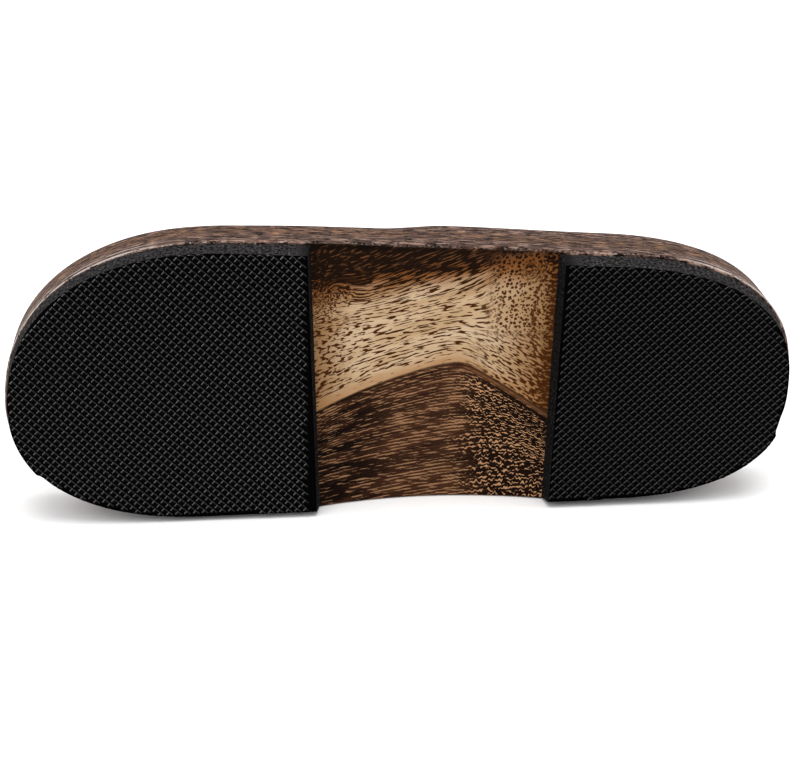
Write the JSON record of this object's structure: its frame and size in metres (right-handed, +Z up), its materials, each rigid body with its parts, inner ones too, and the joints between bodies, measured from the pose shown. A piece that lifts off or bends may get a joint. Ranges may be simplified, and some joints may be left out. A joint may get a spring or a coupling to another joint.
{
  "type": "geta sandal",
  "caption": "Left wooden geta sandal with a scooped arch, rubber tread pads under forefoot and heel, and a padded thong strap, lying on its inner side with the tread forward.",
  "frame": {"origin": "middle of the bounding box at the surface that the sandal lies on", "axes": "+X from toe to heel, -Y the way the tread faces, +Z up from the inner side to the outer side"},
  "size_m": [0.2686, 0.0736, 0.0974],
  "materials": {
    "wood": "oiled",
    "rubber": "matte",
    "strap_cloth": "matte"
  },
  "bodies": {
    "root": {"wood_base": "wood", "forefoot_pad": "rubber", "heel_pad": "rubber", "thong_strap": "strap_cloth", "toe_loop": "strap_cloth"}
  },
  "joints": []
}
